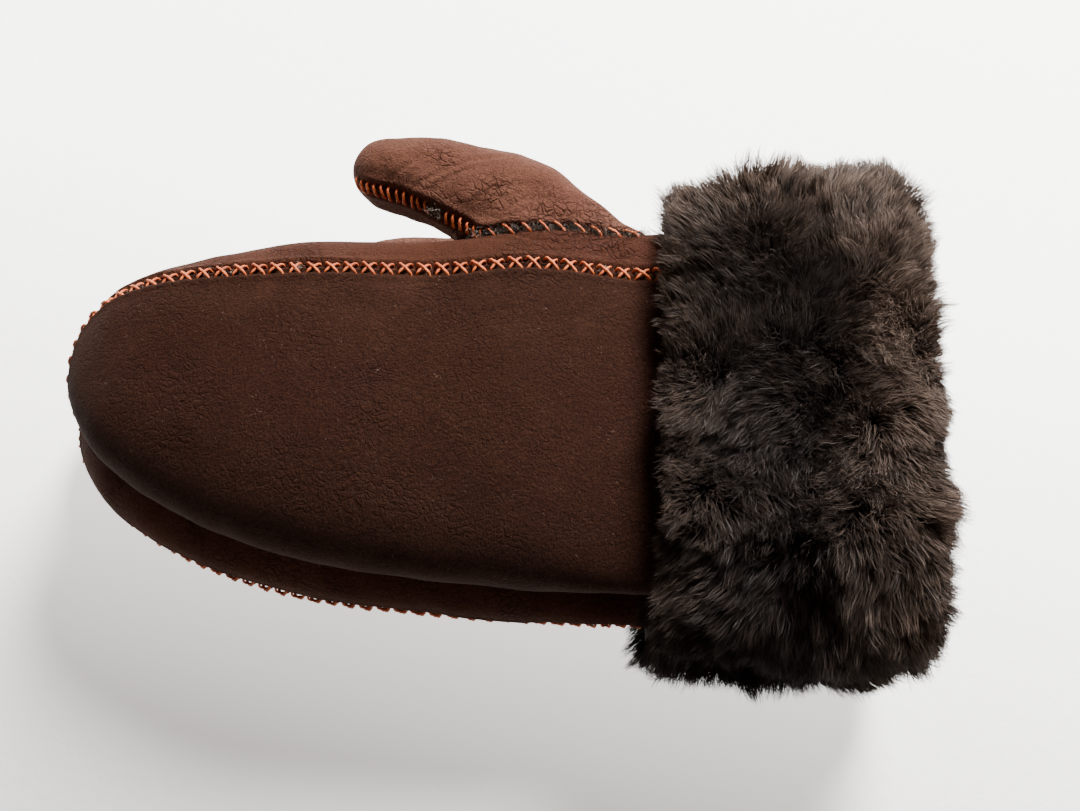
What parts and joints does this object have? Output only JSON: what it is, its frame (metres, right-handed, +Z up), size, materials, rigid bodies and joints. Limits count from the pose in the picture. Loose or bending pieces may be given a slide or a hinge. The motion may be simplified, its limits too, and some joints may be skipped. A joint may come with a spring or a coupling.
{
  "type": "pair of mittens",
  "caption": "Stacked pair of shearling mittens, suede outside and wool inside, with hand-stitched seams and turned-back wool cuffs.",
  "frame": {"origin": "middle of the footprint, on the surface that the lower mitten rests on", "axes": "+X from the fingertips to the cuffs, +Y towards the thumb side, +Z up through the stacked pair"},
  "size_m": [0.2943, 0.1842, 0.0884],
  "materials": {
    "suede": "soft napped dark brown suede",
    "lining_wool": "dense clipped dark brown wool",
    "cuff_wool": "long dark grey-brown wool with lighter tips",
    "thread": "waxed rust-orange thread"
  },
  "bodies": {
    "right_mitten": {"right_back_panel": "suede", "right_palm_panel": "suede", "right_back_lining_wool": "lining_wool", "right_palm_lining_wool": "lining_wool", "right_cuff_back_wool": "cuff_wool", "right_cuff_palm_wool": "cuff_wool", "right_main_seam_thread": "thread"},
    "right_thumb": {"right_thumb_panel": "suede", "right_thumb_lining_wool": "lining_wool", "right_thumb_side_thread": "thread", "right_thumb_base_thread": "thread"},
    "left_mitten": {"left_back_panel": "suede", "left_palm_panel": "suede", "left_back_lining_wool": "lining_wool", "left_palm_lining_wool": "lining_wool", "left_cuff_back_wool": "cuff_wool", "left_cuff_palm_wool": "cuff_wool", "left_main_seam_thread": "thread"},
    "left_thumb": {"left_thumb_panel": "suede", "left_thumb_lining_wool": "lining_wool", "left_thumb_side_thread": "thread", "left_thumb_base_thread": "thread"}
  },
  "joints": [
    {"name": "upper_mitten_lift", "type": "slide", "parent": "right_mitten", "child": "left_mitten", "axis": [0, 0, 1], "range_m": [0, 0.12]},
    {"name": "left_thumb_swing", "type": "hinge", "parent": "left_mitten", "child": "left_thumb", "pos_m": [0.02132, 0.03997, 0.06], "axis": [1, 0, 0], "range_deg": [-8, 25], "stiffness_Nm_per_rad": 0.15},
    {"name": "right_thumb_swing", "type": "hinge", "parent": "right_mitten", "child": "right_thumb", "pos_m": [0.0104, 0.03898, 0.02], "axis": [0.9999, 0.0105, 0], "range_deg": [-2, 10], "stiffness_Nm_per_rad": 0.15}
  ]
}
